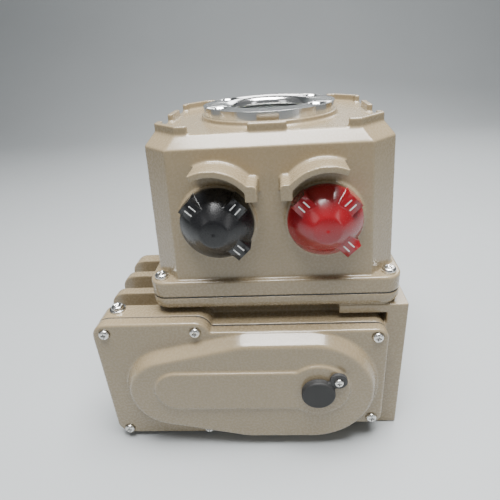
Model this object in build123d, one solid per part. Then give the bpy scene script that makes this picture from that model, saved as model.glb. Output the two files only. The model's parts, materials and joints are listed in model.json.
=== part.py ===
from build123d import *
import os
from math import acos, cos, pi, radians, sin, sqrt, tan

os.makedirs("parts", exist_ok=True)

# Motorized quarter-turn valve actuator. Millimetres, +Z up, front face towards -Y.
# Origin: output shaft axis on the bottom mounting face.

# ---------------------------------------------------------------- joint faces
joint_z = 130.0          # height of the joint between gear housing and control cover
gasket_t = 1.0           # all flat gaskets
seam = joint_z - gasket_t / 2
cover_seam = joint_z + gasket_t / 2

# ---------------------------------------------------------------- flanges
flange_x = 180.0
flange_y = 160.0
flange_r = 12.0
lower_flange_t = 11.5
upper_flange_t = 12.5
flange_screw_inset = 8.6

# ---------------------------------------------------------------- gear housing
block_x0 = -60.0
block_x1 = 96.0
block_back = 74.0
face_y = -66.0           # front face of the central block, behind the gear frame
pillar_front = -78.0     # right-hand pillar beside the gear frame
pillar_w = 14.0
frame_front = -81.5      # machined face that the gear cover bolts to
barrel_wall = 7.0
barrel_back = 21.0
fin_t = 8.5
fin_pitch = 26.6
fin_first = -50.0        # front face of the first fin
end_fin_r = 9.0
plate_x0 = -134.5        # left end of gear cover, frame and fins
plate_x1 = 80.5
plate_z0 = 4.0
plate_top_left = 115.5
plate_top_right = 107.0
plate_right_z0 = 14.0
plate_step_x = -47.0     # where the top edge of the cover steps down
plate_corner_r = 11.0
floor_y = -70.0          # floor of the gear chamber
pan_floor = 112.0        # floor of the shallow pan under the control cover
pan_x = 150.0
pan_y = 124.0

# ---------------------------------------------------------------- gear cover
cover_plate_t = 8.5
cover_wall = 5.0
boss_h = 9.5
boss_taper = 28.0
boss_z = 56.0
boss_small_x = -80.0
boss_small_r = 38.0
boss_mid_x = -20.0
boss_big_x = 25.0
boss_big_r = 51.0
panel_h = 2.0
panel_r = 18.5
panel_ring_r = 24.0
cover_screw_inset = 8.0

# ---------------------------------------------------------------- drive train
axis_z = 61.0            # height of motor, idlers and worm
motor_x = -74.5
worm_x = 29.5            # also the worm centre distance from the output axis
gear_module = 1.0
motor_teeth = 12
idler_a_teeth = 46
idler_a_pinion_teeth = 14
idler_b_teeth = 46
idler_b_pinion_teeth = 15
worm_gear_teeth = 75
wheel_teeth = 40
backlash = 0.20
running = 0.05           # radial clearance of running fits
wheel_width = 14.0
worm_length = 34.0
worm_turns = 7             # whole turns keep a thread centred opposite the wheel
wheel_backlash = 0.55      # extra play for the straight wheel teeth across the lead angle
gear_gap = 1.0           # axial gap between neighbouring gear layers
gear_w_outer = 5.0       # face width of the motor stage
gear_w_mid = 5.0         # face width of the middle stage
gear_w_inner = 8.0       # face width of the worm gear stage
idler_pin_r = 3.0
worm_journal_r = 6.0
bearing_r = 14.0
bearing_w = 8.0
rear_bearing_y = 30.0
hand_shaft_r = 7.0
hand_hex = 6.0           # across flats of the hand drive socket
hand_hex_depth = 14.0

# ---------------------------------------------------------------- motor
motor_bore_r = 40.0
motor_flange_r = 44.5
motor_flange_t = 4.0
motor_len = 78.0
rotor_r = 21.0
motor_shaft_r = 4.0
motor_bearing_r = 11.0
motor_bearing_w = 7.0

# ---------------------------------------------------------------- output shaft
output_r = 14.0
square_drive = 17.0
square_depth = 30.0
bush_wall = 3.0
bush_z0 = 12.0
bush_z1 = 33.0
seal_z0 = 5.0
seal_z1 = 11.0
seal_r = 20.0
register_r = 27.5        # centring recess of the valve flange
register_depth = 3.0
pcd_r = 35.0             # four M8 holes on a 70 mm circle
pcd_hole_r = 3.4
pcd_hole_depth = 14.0
stop_z = 40.0
stop_t = 8.0
stop_r = 24.0
stop_half_w = 4.0
stop_screw_x = 20.0
stop_screw_r = 4.0
cavity_r = 26.0
wheel_seat_r = 11.0
upper_journal_r = 9.0
divider_r = 36.0
divider_t = 6.0
cam_shaft_r = 5.0
dial_z = 231.0
dial_r = 27.0
gland_z = 168.0
gland_thread_r = 10.0
gland_pad_r = 17.0
worm_wheel_face = 9.0
plate_half = 53.0
cap_x = 60.5
cap_y = 10.0
capacitor_r = 11.0
cam_z = 150.0
cam_r = 18.5
cam_t = 5.0
cam_pitch = 8.0
switch_x = 32.0
gear_ring_z = 136.0
pot_teeth = 24
ring_teeth = 48

# ---------------------------------------------------------------- control cover
wall_low_x = 86.0        # half width of the walls at the flange
wall_low_y = 76.2
wall_top_x = 82.5        # half width where the top bevel starts
wall_top_y = 72.8
corner_cut = 17.5
bevel_z = 235.3
bevel_in = 6.4
top_z = 243.3
cover_shell = 5.0
roof_t = 7.3
tab_h = 5.3
tab_t = 4.0
tab_mid_half = 12.5
tab_corner_run = 8.0
collar_r = 51.5
collar_h = 3.5
knob_x = 35.4
knob_z = 186.6
knob_pad_r = 26.2
knob_pad_y = -76.2
hood_y = -94.5
hood_r = 26.5
hood_up = 10.0           # hood arc centre above the knob axis
hood_t = 4.2
hood_leg_x = 21.0        # inner face of the straight leg from the arc centre
hood_leg_t = 7.5
hood_leg_z = 10.0
hood_tip_angle = 114.0

# ---------------------------------------------------------------- window
ring_r = 49.6
ring_in_r = 30.6
ring_t = 6.0
ring_bevel = 3.0
ring_screw_r = 41.5
glass_r = 37.0
glass_t = 8.0
window_seal_t = 1.0

# ---------------------------------------------------------------- knobs
knob_r = 24.6
knob_h = 19.4
knob_skirt = 3.2
knob_face_r = 9.0
knob_label_h = 12.6
knob_label_w = 11.5
knob_label_r0 = 11.0
knob_label_r1 = 25.2
spindle_r = 4.0
bush_r = 7.0

# ---------------------------------------------------------------- hand drive cap
cap_r = 12.2
cap_t = 5.0
cap_angle = 39.0         # direction of the strap from the hand drive axis
cap_reach = 18.5         # hand drive axis to strap screw
cap_tab_r = 6.2
cap_tab_t = 2.6
cap_hinge = 13.0         # hand drive axis to the fold line of the strap

# ---------------------------------------------------------------- derived places
cover_back = frame_front - gasket_t
cover_front = cover_back - cover_plate_t
boss_front = cover_front - boss_h
panel_front = boss_front - panel_h
cover_inner = boss_front + cover_wall
inner_layer = floor_y - 2.0                       # back face of the worm gear
mid_layer = inner_layer - gear_w_inner - 2.0      # back face of the middle stage
outer_layer = mid_layer - gear_w_mid - gear_gap   # back face of the motor stage
idler_a_x = motor_x + gear_module * (motor_teeth + idler_a_teeth) / 2
idler_b_x = idler_a_x + gear_module * (idler_a_pinion_teeth + idler_b_teeth) / 2
wheel_r = gear_module * wheel_teeth / 2
worm_r = worm_x - wheel_r
barrel_r = motor_bore_r + barrel_wall
ring_z0 = top_z + collar_h
glass_top = ring_z0 - window_seal_t
glass_bottom = glass_top - glass_t
roof_z = top_z - roof_t


def block(x0, x1, y0, y1, z0, z1):
    """Box between two corners."""
    return Pos((x0 + x1) / 2, (y0 + y1) / 2, (z0 + z1) / 2) * Box(x1 - x0, y1 - y0, z1 - z0)


def rod_y(radius, y0, y1, x, z):
    """Cylinder along Y."""
    return Pos(x, (y0 + y1) / 2, z) * Rot(X=90) * Cylinder(radius, abs(y1 - y0))


def rod_z(radius, z0, z1, x=0.0, y=0.0):
    """Cylinder along Z."""
    return Pos(x, y, (z0 + z1) / 2) * Cylinder(radius, z1 - z0)


def tube_y(outer, inner, y0, y1, x, z):
    """Hollow cylinder along Y, between two ends given in either order."""
    return rod_y(outer, y0, y1, x, z) - rod_y(inner, min(y0, y1) - 1, max(y0, y1) + 1, x, z)


def tube_z(outer, inner, z0, z1, x=0.0, y=0.0):
    """Hollow cylinder along Z."""
    return rod_z(outer, z0, z1, x, y) - rod_z(inner, z0 - 1, z1 + 1, x, y)


def front_plane(y):
    """Sketch plane that faces -Y: sketch X is world X and sketch Y is world Z."""
    return Plane(origin=(0, y, 0), x_dir=(1, 0, 0), z_dir=(0, -1, 0))


def front_prism(sketch, y_back, y_front, taper=0.0):
    """Sketch in X and Z, extruded from y_back forwards to y_front."""
    return extrude(front_plane(y_back) * sketch, amount=y_back - y_front, taper=taper)


def hull(circles):
    """Outline stretched round circles given as (x, z, radius)."""
    edges = []
    for x, z, radius in circles:
        edges += (Pos(x, z) * Circle(radius)).edges()
    return make_hull(edges)


def corners(half_x, half_y):
    """The four corners of a rectangle centred on the output axis."""
    return [(sx * half_x, sy * half_y) for sx in (-1, 1) for sy in (-1, 1)]


def flange_screw_places():
    """Centres of the four screws between the two flanges."""
    return corners(flange_x / 2 - flange_screw_inset, flange_y / 2 - flange_screw_inset)


def cover_screw_places():
    """Centres (x, z) of the six gear cover screws."""
    inset = cover_screw_inset
    left = plate_x0 + inset + 1.5
    middle = plate_step_x - 11.0
    right = plate_x1 - inset
    low = plate_z0 + 5.5
    return [
        (left, plate_top_left - inset), (middle, plate_top_left - inset),
        (right, plate_top_right - inset + 1.5), (right, plate_right_z0 + 6.5),
        (left, low), (middle, low),
    ]


def boss_outline(shrink=0.0):
    """Outline of the raised gear boss on the gear cover."""
    return hull([
        (boss_small_x, boss_z, boss_small_r - shrink),
        (boss_mid_x, boss_z, boss_big_r - shrink),
        (boss_big_x, boss_z, boss_big_r - shrink),
    ])


def cover_outline():
    """Outer outline shared by the gear cover, its gasket and the housing frame."""
    left_w = plate_step_x - plate_x0
    left_h = plate_top_left - plate_z0
    left = Pos(plate_x0 + left_w / 2, plate_z0 + left_h / 2) * Rectangle(left_w, left_h)
    left = fillet(left.vertices(), plate_corner_r)
    right_w = plate_x1 - plate_step_x + 20
    right_h = plate_top_right - plate_right_z0
    right = Pos(plate_x1 - right_w / 2, plate_right_z0 + right_h / 2) * Rectangle(right_w, right_h)
    right = fillet(right.vertices().sort_by(Axis.X)[-2:], plate_corner_r * 0.75)
    over = Pos(0, plate_top_right + 50) * Rectangle(400, 100)
    return left + right + (boss_outline() - over)


def gear_chamber_outline():
    """Inside of the gear chamber: motor flange on the left, worm gear on the right."""
    worm_gear_r = gear_module * worm_gear_teeth / 2
    return hull([
        (motor_x, axis_z, motor_flange_r + 0.5),
        (worm_x, axis_z, worm_gear_r + 3.5),
    ])


def pan_head(head_r, head_h, shank_r, shank_len):
    """Pan head screw along -Z with its seat at the origin and a cross recess."""
    head = Cylinder(head_r, head_h, align=(Align.CENTER, Align.CENTER, Align.MIN))
    head = fillet(head.edges().group_by(Axis.Z)[-1], head_h * 0.6)
    shank = Cylinder(shank_r, shank_len, align=(Align.CENTER, Align.CENTER, Align.MAX))
    slot_l = head_r * 1.1
    slot_w = head_r * 0.24
    cross = Box(slot_l, slot_w, head_h) + Box(slot_w, slot_l, head_h)
    return head + shank - Pos(0, 0, head_h) * cross


def set_on(part, places):
    """The same solid set at several locations, as one group."""
    return Compound(children=[loc * part for loc in places])


# ================================================================ gear housing
def make_gear_housing():
    """Main casting: gear frame, finned motor barrel, central block and flange."""
    flange = extrude(Pos(0, 0, seam) * RectangleRounded(flange_x, flange_y, flange_r), -lower_flange_t)
    low_sides = flange.edges().filter_by(Axis.Y).group_by(Axis.Z)[0]
    flange = fillet(low_sides, lower_flange_t * 0.7)
    neck_z = seam - lower_flange_t
    body = block(block_x0, block_x1, face_y, block_back, 0, neck_z + 1)
    body = fillet(body.edges().filter_by(Axis.Z).group_by(Axis.Y)[-1], 10)
    pillar_x = block_x1 - pillar_w - 1
    body += block(pillar_x, block_x1, pillar_front, face_y, 0, neck_z + 1)
    body += block(worm_x + 17, block_x1, pillar_front, face_y, plate_top_right + 5, neck_z + 1)
    body += flange
    body += front_prism(cover_outline(), face_y, frame_front)
    body += rod_y(barrel_r, face_y - 1, barrel_back, motor_x, axis_z)
    fin_w = block_x0 + 10 - plate_x0
    fin_h = plate_top_left - plate_z0
    fin_face = Pos(plate_x0 + fin_w / 2, plate_z0 + fin_h / 2) * Rectangle(fin_w, fin_h)
    fin_face = fillet(fin_face.vertices().sort_by(Axis.X)[:2], plate_corner_r)
    for i in range(2):
        y0 = fin_first + i * fin_pitch
        body += front_prism(fin_face, y0 + fin_t, y0)
    end_fin = front_prism(fin_face, barrel_back, fin_first + 2 * fin_pitch)
    back_edges = end_fin.edges().group_by(Axis.Y)[-1].sort_by(Axis.X)[:3]
    body += fillet(back_edges, end_fin_r * 0.8)

    # gear chamber, motor bore and worm tunnel
    body -= front_prism(gear_chamber_outline(), floor_y, frame_front - 1)
    motor_end = floor_y + motor_len
    body -= rod_y(motor_bore_r, floor_y - 1, motor_end + 1, motor_x, axis_z)
    body -= rod_y(bearing_r, floor_y - 1, rear_bearing_y + bearing_w, worm_x, axis_z)
    body -= rod_y(worm_journal_r + 2, rear_bearing_y, rear_bearing_y + bearing_w + 6, worm_x, axis_z)
    body -= rod_y(idler_pin_r, floor_y - 1, floor_y + 6, idler_b_x, axis_z)

    # wheel cavity, output bore and register
    body -= rod_z(cavity_r, stop_z - stop_t / 2 - 1.5, pan_floor + 1)
    body -= rod_z(output_r + bush_wall, bush_z0 - 1.5, stop_z)
    body -= rod_z(output_r + 1, -1, stop_z)
    body -= rod_z(seal_r, register_depth - 1, seal_z1)
    body -= rod_z(register_r, -1, register_depth)
    for i in range(4):
        a = radians(45 + 90 * i)
        body -= rod_z(pcd_hole_r, -1, pcd_hole_depth, pcd_r * cos(a), pcd_r * sin(a))

    # pan under the control cover, screw holes, stop screw holes
    pan = Pos(10, 0, pan_floor) * RectangleRounded(pan_x - 20, pan_y, 8)
    body -= extrude(pan, seam - pan_floor + 1)
    body -= rod_z(5, pan_floor - 18, pan_floor + 1, motor_x + 30, 0)
    for x, y in flange_screw_places():
        body -= rod_z(2.1, seam - lower_flange_t - 1, seam + 1, x, y)
    for x, z in cover_screw_places():
        body -= rod_y(1.65, frame_front - 1, frame_front + 11, x, z)
    for x in (-stop_screw_x, stop_screw_x):
        body -= rod_y(stop_screw_r, 0, block_back + 1, x, stop_z)
    for x, y in divider_screw_places():
        body -= rod_z(2.1, pan_floor - 9, pan_floor + 1, x, y)
    for x, z in motor_screw_places():
        body -= rod_y(1.3, floor_y - 1, floor_y + 7, x, z)
    body -= rod_z(2.1, plate_top_left - 12, plate_top_left + 1, earth_x(), earth_y())
    return body


def earth_x():
    """Earth screw place along X, on top of the gear frame."""
    return plate_x0 + plate_corner_r + 3.5


def earth_y():
    """Earth screw place along Y, in the middle of the frame's depth."""
    return (frame_front + face_y) / 2 + 2


def divider_screw_places():
    """Four screws that hold the divider plate."""
    r = divider_r - 4.5
    return [(r * cos(radians(a)), r * sin(radians(a))) for a in (45, 135, 225, 315)]


def motor_screw_places():
    """Four screws (x, z) that hold the motor flange to the chamber floor."""
    r = (motor_bore_r + motor_flange_r) / 2
    return [(motor_x + r * cos(radians(a)), axis_z + r * sin(radians(a))) for a in (60, 120, 240, 300)]


def make_cover_gasket():
    """Gasket between the gear housing flange and the control cover."""
    outer = Pos(0, 0, seam) * RectangleRounded(flange_x - 1, flange_y - 1, flange_r)
    inner = Pos(0, 0, seam) * RectangleRounded(flange_x - 34, flange_y - 36, 8)
    ring = extrude(outer - inner, gasket_t)
    for x, y in flange_screw_places():
        ring -= rod_z(2.8, seam - 1, cover_seam + 1, x, y)
    return ring


def make_gear_cover_gasket():
    """Gasket behind the gear cover."""
    ring = front_prism(offset(cover_outline(), -0.4), frame_front, cover_back)
    ring -= front_prism(gear_chamber_outline(), frame_front + 1, cover_back - 1)
    for x, z in cover_screw_places():
        ring -= rod_y(2.3, cover_back - 1, frame_front + 1, x, z)
    return ring


def make_gear_cover():
    """Gear cover: plate, tapered gear boss, key-hole panel and hollow inside."""
    cover = front_prism(cover_outline(), cover_back, cover_front)
    front_edge = cover.edges().group_by(Axis.Y)[0]
    cover = fillet(front_edge, 1.6)
    boss = front_prism(boss_outline(), cover_front + 2, boss_front, boss_taper)
    boss = fillet(boss.edges().group_by(Axis.Y)[0], 3.0)
    cover += boss
    bar_half = panel_r
    bar = hull([(motor_x, axis_z, bar_half), (worm_x, axis_z, bar_half)])
    panel = bar + Pos(worm_x, axis_z) * Circle(panel_ring_r)
    cover += front_prism(panel, boss_front + 1, panel_front, 20)
    hollow = hull([(motor_x, axis_z, 22), (idler_b_x, axis_z, 27), (worm_x, axis_z, 27)])
    cover -= front_prism(hollow, cover_back + 1, cover_inner)
    hub = rod_y(12, cover_inner - 1, inner_layer - gear_w_inner - 3, worm_x, axis_z)
    cover += hub
    cover -= rod_y(hand_shaft_r + running, panel_front - 1, cover_back + 4, worm_x, axis_z)
    cover -= rod_y(hand_shaft_r + 2, cover_inner + 1.0, cover_inner + 3.6, worm_x, axis_z)
    cover -= rod_y(1.6, panel_front - 1, panel_front + 5.5, *cap_place(cap_reach))
    for x, z in cover_screw_places():
        cover -= rod_y(2.3, cover_front - 1, cover_back + 1, x, z)
        cover -= rod_y(4.5, cover_front - 1, cover_front + 0.8, x, z)
    return cover


def cap_place(reach):
    """Point (x, z) at a distance from the hand drive axis along the cap's strap."""
    a = radians(cap_angle)
    return worm_x + reach * cos(a), axis_z + reach * sin(a)


def make_gear_cover_screws():
    """Six M4 pan head screws."""
    screw = pan_head(4.0, 3.0, 1.65, 17.0)
    seat = cover_front + 0.8
    return set_on(screw, [Pos(x, seat, z) * Rot(X=90) for x, z in cover_screw_places()])


def make_control_cover_screws():
    """Four M5 pan head screws through the cover flange."""
    screw = pan_head(5.0, 3.6, 2.1, upper_flange_t + lower_flange_t)
    z = cover_seam + upper_flange_t
    return set_on(screw, [Pos(x, y, z) for x, y in flange_screw_places()])


def make_earth_screw():
    """M5 earth screw with its clamp washer, on top of the gear frame."""
    screw = pan_head(4.6, 3.0, 2.1, 11.0)
    washer = Cylinder(6.0, 1.2, align=(Align.CENTER, Align.CENTER, Align.MAX))
    return Pos(earth_x(), earth_y(), plate_top_left + 1.2) * (screw + washer)


# ================================================================ control cover
def octagon(half_x, half_y, cut, z):
    """Rectangle with cut corners, as a face at height z."""
    outline = Rectangle(2 * half_x, 2 * half_y)
    return Pos(0, 0, z) * chamfer(outline.vertices(), cut)


def wall_y(z):
    """Half depth of the drafted wall at height z."""
    low = cover_seam + upper_flange_t
    share = (z - low) / (bevel_z - low)
    return wall_low_y + share * (wall_top_y - wall_low_y)


def make_hood(side):
    """Rain hood over one knob. side is -1 for the left knob and 1 for the right."""
    outer = hood_r + hood_t
    far = 2 * outer
    tip = radians(hood_tip_angle)
    keep = Polyline((0, 0), (far, 0), (far, far), (0, far), (far * cos(tip), far * sin(tip)), close=True)
    arc = (Circle(outer) - Circle(hood_r)) & make_face(keep)
    below_leg = Pos(outer, 0) * Rectangle(2 * outer, 2 * hood_leg_z)
    leg_h = hood_r * 0.4
    leg = Pos(hood_leg_x + hood_leg_t / 2, hood_leg_z + leg_h / 2) * Rectangle(hood_leg_t, leg_h)
    leg = fillet(leg.vertices().sort_by(Axis.X)[-2:], 2.5)
    outline = arc - below_leg + leg
    hood = front_prism(outline, -wall_y(bevel_z) + 3, hood_y)
    if side > 0:
        hood = mirror(hood, Plane.YZ)
    return Pos(side * knob_x, 0, knob_z + hood_up) * hood


def make_tabs():
    """Castellations that stand on the edge of the roof."""
    half_x = wall_top_x - bevel_in
    half_y = wall_top_y - bevel_in - 0.7
    ring = octagon(half_x, half_y, corner_cut, top_z - 1)
    ring -= octagon(half_x - tab_t, half_y - tab_t, corner_cut - tab_t * 0.6, top_z - 1)
    tabs = extrude(ring, tab_h + 1)
    run_x = half_x - corner_cut - tab_corner_run
    run_y = half_y - corner_cut - tab_corner_run
    for s in (-1, 1):
        x0 = s * (tab_mid_half + run_x) / 2
        y0 = s * (tab_mid_half + run_y) / 2
        tabs -= Pos(x0, 0, top_z + 10.0) * Box(run_x - tab_mid_half, 400, 20)
        tabs -= Pos(0, y0, top_z + 10.0) * Box(400, run_y - tab_mid_half, 20)
    return tabs


def make_control_cover():
    """Control cover: flange, drafted eight-sided walls, roof, collar, tabs and hoods."""
    low = cover_seam + upper_flange_t
    flange = extrude(Pos(0, 0, cover_seam) * RectangleRounded(flange_x, flange_y, flange_r), upper_flange_t)
    flange = fillet(flange.edges().group_by(Axis.Z)[-1], 1.5)
    top_x = wall_top_x - bevel_in
    top_y = wall_top_y - bevel_in - 0.7
    walls = loft([octagon(wall_low_x, wall_low_y, corner_cut, low - 1),
                  octagon(wall_top_x, wall_top_y, corner_cut, bevel_z)], ruled=True)
    bevel = loft([octagon(wall_top_x, wall_top_y, corner_cut, bevel_z),
                  octagon(top_x, top_y, corner_cut, top_z)], ruled=True)
    cover = flange + walls + bevel + make_tabs()
    cover += rod_z(collar_r, top_z - 1, ring_z0)
    for side in (-1, 1):
        cover += make_hood(side)
        cover += rod_y(knob_pad_r, knob_pad_y, -wall_y(bevel_z) + 3, side * knob_x, knob_z)
    inner_low = octagon(wall_low_x - cover_shell, wall_low_y - cover_shell, corner_cut, cover_seam - 1)
    inner_top = octagon(wall_top_x - cover_shell, wall_top_y - cover_shell, corner_cut, roof_z)
    cover -= loft([inner_low, inner_top], ruled=True)
    cover += tube_z(glass_r + 5, glass_r, glass_bottom - 3, roof_z + 1)
    cover -= rod_z(glass_r, glass_bottom - window_seal_t, ring_z0 + 1)
    cover -= rod_z(glass_r - 5, roof_z - 20, ring_z0 + 1)
    for side in (-1, 1):
        cover -= rod_y(bush_r, -100, -50, side * knob_x, knob_z)
    for x, y in flange_screw_places():
        cover -= rod_z(2.75, cover_seam - 1, low + 1, x, y)
    for x, y in ring_screw_places():
        cover -= rod_z(1.7, ring_z0 - 6, ring_z0 + 1, x, y)
    for x in gland_places():
        cover += rod_y(gland_pad_r, wall_y(gland_z) - 3, gland_pad_y(), x, gland_z)
        cover -= rod_y(gland_thread_r, 50, 100, x, gland_z)
    return cover


def gland_pad_y():
    """Flat outer face of the pads under the cable glands."""
    return wall_low_y + 0.8


def ring_screw_places():
    """Four screws of the window ring."""
    return [(ring_screw_r * cos(radians(a)), ring_screw_r * sin(radians(a))) for a in (35, 145, 215, 325)]


def gland_places():
    """Two cable entries along X in the rear wall."""
    return [-32.0, 32.0]


# ================================================================ window
def make_window_glass():
    """Toughened glass disc."""
    glass = rod_z(glass_r - 0.2, glass_bottom, glass_top)
    return chamfer(glass.edges(), 0.5)


def make_window_seals():
    """Flat seals under and over the glass."""
    low = tube_z(glass_r - 0.2, glass_r - 5, glass_bottom - window_seal_t, glass_bottom)
    high = tube_z(glass_r - 0.2, ring_in_r + 1, glass_top, ring_z0)
    return Compound(children=[low, high])


def make_window_ring():
    """Polished clamp ring with a bevelled opening and four scalloped screw pockets."""
    ring = tube_z(ring_r, ring_in_r, ring_z0, ring_z0 + ring_t)
    ring = chamfer(ring.edges().filter_by(GeomType.CIRCLE).group_by(Axis.Z)[-1].sort_by(SortBy.RADIUS)[0],
                   ring_bevel)
    for x, y in ring_screw_places():
        ring -= rod_z(5.4, ring_z0 + 2.5, ring_z0 + ring_t + 1, x, y)
        ring -= rod_z(2.3, ring_z0 - 1, ring_z0 + ring_t, x, y)
    return ring


def make_window_ring_screws():
    """Four M4 pan head screws in the ring's pockets."""
    screw = pan_head(4.0, 2.8, 1.7, 8.4)
    return set_on(screw, [Pos(x, y, ring_z0 + 2.5) for x, y in ring_screw_places()])


# ================================================================ knobs
def knob_base_y():
    """Rear face of the knobs, just clear of their pads."""
    return knob_pad_y - 0.3


def make_knob(side):
    """Domed selector knob with three raised label flats."""
    rise = knob_h - 1.0
    bulge = ThreePointArc((knob_r, knob_skirt), (knob_r * 0.71, rise * 0.63), (knob_face_r, rise))
    sphere_r = (knob_face_r ** 2 + 1.0) / 2
    halfway = knob_h - sphere_r + sqrt(sphere_r ** 2 - (knob_face_r / 2) ** 2)
    crown = ThreePointArc((knob_face_r, rise), (knob_face_r / 2, halfway), (0, knob_h))
    foot = Polyline((0, knob_h), (0, 0), (knob_r, 0), (knob_r, knob_skirt))
    profile = make_face(Plane.XZ * (Curve() + [foot, bulge, crown]))
    knob = revolve(profile, Axis.Z)
    label_len = knob_label_r1 - knob_label_r0
    for a in (135, 45, -45):
        pad = Pos(knob_label_r0 + label_len / 2, 0, knob_label_h / 2)
        knob += Rot(Z=a) * pad * Box(label_len, knob_label_w, knob_label_h)
    knob -= Cylinder(spindle_r + running, 12, align=(Align.CENTER, Align.CENTER, Align.MIN))
    return Pos(side * knob_x, knob_base_y(), knob_z) * Rot(X=90) * knob


def make_knob_spindle(side):
    """Spindle of one knob, with the drive tongue for its selector switch."""
    base = knob_base_y()
    spindle = rod_y(spindle_r, switch_front() + 1.0, base - 11.5, side * knob_x, knob_z)
    tongue = Pos(side * knob_x, switch_front() + 4.0, knob_z) * Box(5.0, 6.4, 2.2)
    return spindle + tongue


def make_knob_bushes():
    """Brass bushes pressed into the front wall, with an inner collar."""
    bushes = []
    inner_face = -wall_y(knob_z) + cover_shell
    for side in (-1, 1):
        x = side * knob_x
        bush = rod_y(bush_r, knob_pad_y, inner_face + 5, x, knob_z)
        bush += rod_y(bush_r + 3, inner_face + 1.0, inner_face + 5, x, knob_z)
        bush -= rod_y(spindle_r + running, -100, -40, x, knob_z)
        bush -= rod_y(spindle_r + 1.5, -71.5, -69.3, x, knob_z)
        bushes.append(bush)
    return Compound(children=bushes)


def make_knob_seals():
    """O-rings between the spindles and their bushes."""
    rings = [tube_y(spindle_r + 1.4, spindle_r + 0.1, -71.4, -69.4, side * knob_x, knob_z) for side in (-1, 1)]
    return Compound(children=rings)


def switch_front():
    """Front face of the selector switches."""
    return -wall_y(knob_z) + cover_shell + 10


def make_selector_switches():
    """Rotary switch bodies behind the knobs, on their mounting plate's front."""
    bodies = []
    y0 = switch_front()
    for side in (-1, 1):
        x = side * knob_x
        body = block(x - 14, x + 14, y0, y0 + 16, knob_z - 14, knob_z + 14)
        body = fillet(body.edges().filter_by(Axis.Y), 2)
        body -= rod_y(4.4, y0 - 1, y0 + 8, x, knob_z)
        bodies.append(body)
    return Compound(children=bodies)


def make_switch_plate():
    """Folded plate that carries both selector switches from the housing pan."""
    y0 = switch_front() + 16
    plate = block(-plate_half, plate_half, y0, y0 + 2, pan_floor + 30, knob_z + 18)
    foot = block(-plate_half, plate_half, y0, y0 + 12, pan_floor + 28, pan_floor + 30)
    legs = block(-plate_half, 12 - plate_half, y0, y0 + 2, pan_floor, pan_floor + 30)
    legs += block(plate_half - 12, plate_half, y0, y0 + 2, pan_floor, pan_floor + 30)
    plate += legs + foot
    for side in (-1, 1):
        x = side * (plate_half - 6)
        plate += block(x - 6, x + 6, y0, y0 + 12, pan_floor, pan_floor + 2)
        plate -= rod_z(2.2, pan_floor - 1, pan_floor + 3, x, y0 + 7)
    return plate


# ================================================================ gears
def involute_gear(teeth, width, y0, x, z, bore, phase=0.0, play=backlash):
    """Spur gear on an axis along Y: involute flanks, thinned teeth, plain bore."""
    module = gear_module
    pitch_r = module * teeth / 2
    tip_r = pitch_r + 0.9 * module
    root_r = pitch_r - 1.2 * module
    pressure = radians(20)
    base_r = pitch_r * cos(pressure)
    half_pitch = pi / (2 * teeth) - play / (2 * pitch_r)
    inv_pitch = tan(pressure) - pressure
    steps = 3
    start_r = max(base_r, root_r)
    radii = [start_r + (tip_r - start_r) * k / steps for k in range(steps + 1)]
    flank = []
    for r in radii:
        local = acos(min(1.0, base_r / r))
        flank.append((r, half_pitch + inv_pitch - (tan(local) - local)))
    root = (root_r, flank[0][1])
    side = [root] + flank if root_r < start_r - 1e-6 else flank
    points = []
    for i in range(teeth):
        centre = 2 * pi * i / teeth + phase
        ordered = [(r, centre - a) for r, a in side] + [(r, centre + a) for r, a in reversed(side)]
        points += [(r * cos(a), r * sin(a)) for r, a in ordered]
    face = make_face(Polyline(*points, close=True))
    if bore > 0:
        face -= Circle(bore)
    return front_prism(Pos(x, z) * face, y0, y0 - width)


def mesh_phase(driver_teeth, driven_teeth, driver_phase):
    """Phase of a driven gear to the right of its driver, so that teeth meet gaps."""
    return pi + pi / driven_teeth - driver_phase * driver_teeth / driven_teeth


idler_a_phase = mesh_phase(motor_teeth, idler_a_teeth, 0.0)
idler_b_phase = mesh_phase(idler_a_pinion_teeth, idler_b_teeth, 0.0)
worm_gear_phase = mesh_phase(idler_b_pinion_teeth, worm_gear_teeth, 0.0)


def make_motor_pinion():
    """Pinion on the motor shaft."""
    return involute_gear(motor_teeth, gear_w_outer, outer_layer, motor_x, axis_z, motor_shaft_r - 0.5)


def make_idler_a():
    """First compound idler: large wheel in the outer layer, pinion in the middle layer."""
    bore = idler_pin_r + running
    wheel = involute_gear(idler_a_teeth, gear_w_outer - 0.5, outer_layer - 0.25, idler_a_x, axis_z, bore,
                          idler_a_phase)
    pinion = involute_gear(idler_a_pinion_teeth, gear_w_mid + gear_gap, mid_layer, idler_a_x, axis_z, bore)
    hub = tube_y(5.0, bore, outer_layer, outer_layer - gear_w_outer, idler_a_x, axis_z)
    back = tube_y(5.0, bore, floor_y - motor_flange_t - 0.4, mid_layer - 0.5, idler_a_x, axis_z)
    return wheel + pinion + hub + back


def make_idler_b():
    """Second compound idler: large wheel in the middle layer, pinion in the inner layer."""
    bore = idler_pin_r + running
    wheel = involute_gear(idler_b_teeth, gear_w_mid - 0.5, mid_layer - 0.25, idler_b_x, axis_z, bore,
                          idler_b_phase)
    pinion = involute_gear(idler_b_pinion_teeth, gear_w_inner + 2.0, inner_layer, idler_b_x, axis_z, bore)
    hub = tube_y(5.5, bore, mid_layer, mid_layer - gear_w_mid, idler_b_x, axis_z)
    back = tube_y(5.5, bore, floor_y - 0.4, inner_layer - 0.5, idler_b_x, axis_z)
    return wheel + pinion + hub + back


def make_idler_pins():
    """Fixed pins of the two idlers."""
    pin_a = rod_y(idler_pin_r, floor_y - motor_flange_t + 2.5, outer_layer - gear_w_outer - 0.6, idler_a_x, axis_z)
    pin_b = rod_y(idler_pin_r, floor_y + 6, mid_layer - gear_w_mid - 0.6, idler_b_x, axis_z)
    return Compound(children=[pin_a, pin_b])


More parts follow.
